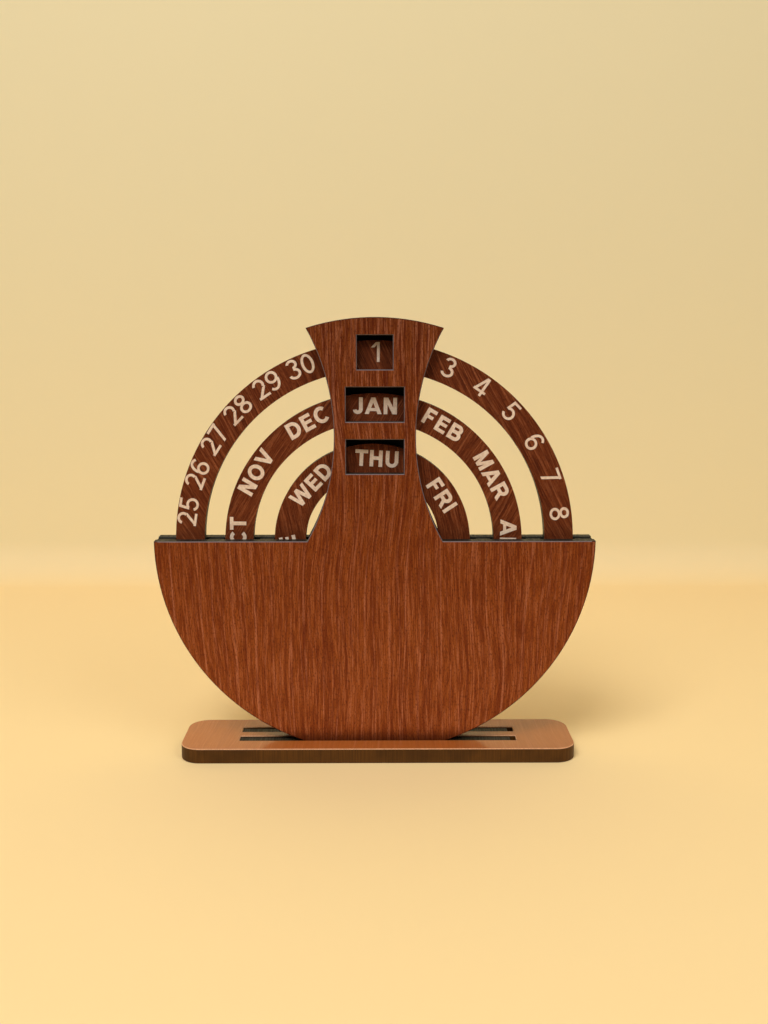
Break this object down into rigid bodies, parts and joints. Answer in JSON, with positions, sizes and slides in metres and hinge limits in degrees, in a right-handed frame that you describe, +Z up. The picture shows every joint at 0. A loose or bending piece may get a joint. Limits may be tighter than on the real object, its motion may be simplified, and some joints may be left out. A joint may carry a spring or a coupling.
{
  "type": "perpetual desk calendar",
  "caption": "Wooden perpetual desk calendar: a windowed half-disc board on a slotted base, with date, month and weekday rings that turn behind it.",
  "frame": {"origin": "on the table, at the middle of the part's footprint, under the middle of the half disc", "axes": "+Z up, -Y towards the reader, +X to the reader's right"},
  "size_m": [0.19, 0.0372, 0.1911],
  "materials": {
    "base_wood": "satin walnut-brown laminate, dark cut edges",
    "panel_wood": "satin red-brown laminate with fine upright grain, dark cut edges",
    "ring_wood": "satin dark red-brown laminate, dark cut edges",
    "spacer_board": "bare board, darkened by the cut"
  },
  "bodies": {
    "base": {"base_plate": "base_wood"},
    "calendar": {"front_panel": "panel_wood", "back_panel": "panel_wood", "rim_spacer": "spacer_board", "date_month_spacer": "spacer_board", "month_weekday_spacer": "spacer_board", "hub_spacer": "spacer_board", "crown_spacer": "spacer_board"},
    "date_ring": {"date_ring": "ring_wood"},
    "month_ring": {"month_ring": "ring_wood"},
    "weekday_ring": {"weekday_ring": "ring_wood"}
  },
  "joints": [
    {"name": "calendar_lift", "type": "slide", "parent": "base", "child": "calendar", "axis": [0, 0, 1], "range_m": [0, 0.006]},
    {"name": "date_turn", "type": "hinge", "parent": "calendar", "child": "date_ring", "pos_m": [-0.00016, 0, 0.09526], "axis": [0, -1, 0], "continuous": true},
    {"name": "month_turn", "type": "hinge", "parent": "calendar", "child": "month_ring", "pos_m": [-0.00061, 0, 0.09477], "axis": [0, -1, 0], "continuous": true},
    {"name": "weekday_turn", "type": "hinge", "parent": "calendar", "child": "weekday_ring", "pos_m": [-0.00118, 0, 0.09521], "axis": [0, -1, 0], "continuous": true}
  ]
}
